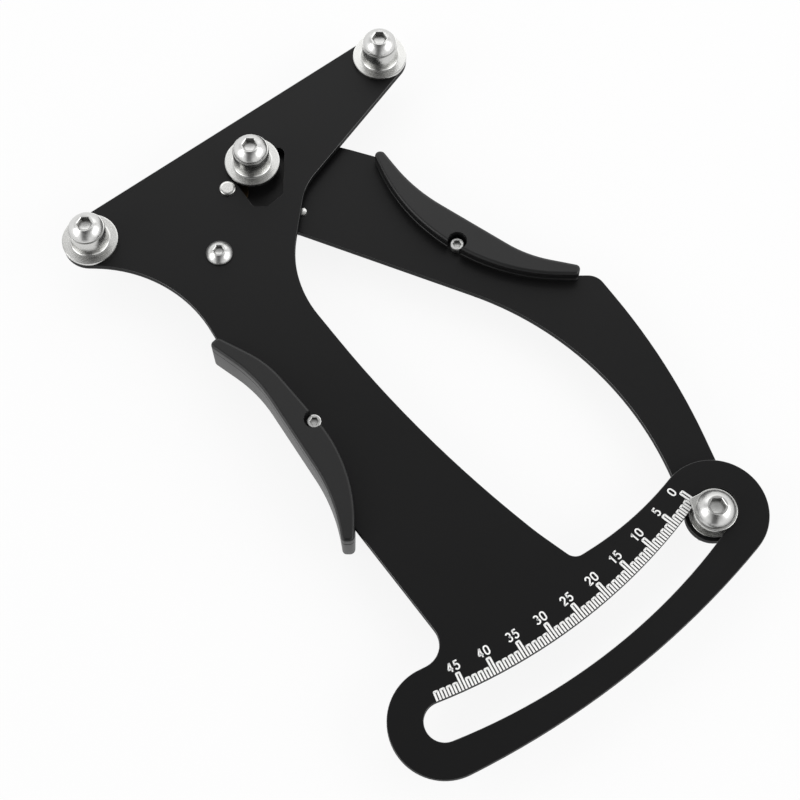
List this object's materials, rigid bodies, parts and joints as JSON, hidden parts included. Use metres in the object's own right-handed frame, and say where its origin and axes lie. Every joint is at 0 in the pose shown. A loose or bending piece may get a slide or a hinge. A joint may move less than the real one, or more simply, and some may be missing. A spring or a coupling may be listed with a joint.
{
  "type": "spoke tension meter",
  "caption": "Handheld bicycle spoke tension meter: black plates that pivot like pliers, with moulded grips, turned steel spoke posts, a return spring and a pointer over a curved scale slot.",
  "frame": {"origin": "on the lever pivot's axis, in the back face of the pivot pin's foot, which is the plane the tool is laid down on", "axes": "+Z is the outward normal of the face with the scale; +Y runs up the face and +X to its right, as the tool is held in the picture"},
  "size_m": [0.1905, 0.2162, 0.0227],
  "materials": {
    "black_plate": "satin",
    "grip_plastic": "matte",
    "turned_steel": "satin",
    "bright_hardware": "polished",
    "spring_steel": "satin",
    "bronze": "satin"
  },
  "bodies": {
    "body": {"body_plate": "black_plate", "left_post": "turned_steel", "right_post": "turned_steel", "left_post_screw": "bright_hardware", "right_post_screw": "bright_hardware", "post_washers": "bright_hardware", "post_nuts": "bright_hardware", "pivot_pin": "turned_steel", "pivot_washer": "bronze", "torsion_spring": "spring_steel", "spring_screw": "bright_hardware", "spring_spacer": "turned_steel", "spring_nut": "bright_hardware", "body_grip": "grip_plastic", "body_grip_screw": "bright_hardware", "body_grip_nut": "bright_hardware"},
    "lever": {"lever_plate": "black_plate", "middle_post": "turned_steel", "middle_screw": "bright_hardware", "spring_pin": "turned_steel", "lever_grip": "grip_plastic", "lever_grip_screw": "bright_hardware", "lever_grip_nut": "bright_hardware", "pointer": "turned_steel", "pointer_bush": "turned_steel", "pointer_screw": "bright_hardware", "pointer_nut": "bright_hardware"}
  },
  "joints": [
    {"name": "lever_pivot", "type": "hinge", "parent": "body", "child": "lever", "pos_m": [0, 0, 0.008], "axis": [0, 0, -1], "range_deg": [0, 31.5], "stiffness_Nm_per_rad": 1.1, "springref_deg": -20.05, "deforming": ["torsion_spring"]}
  ]
}
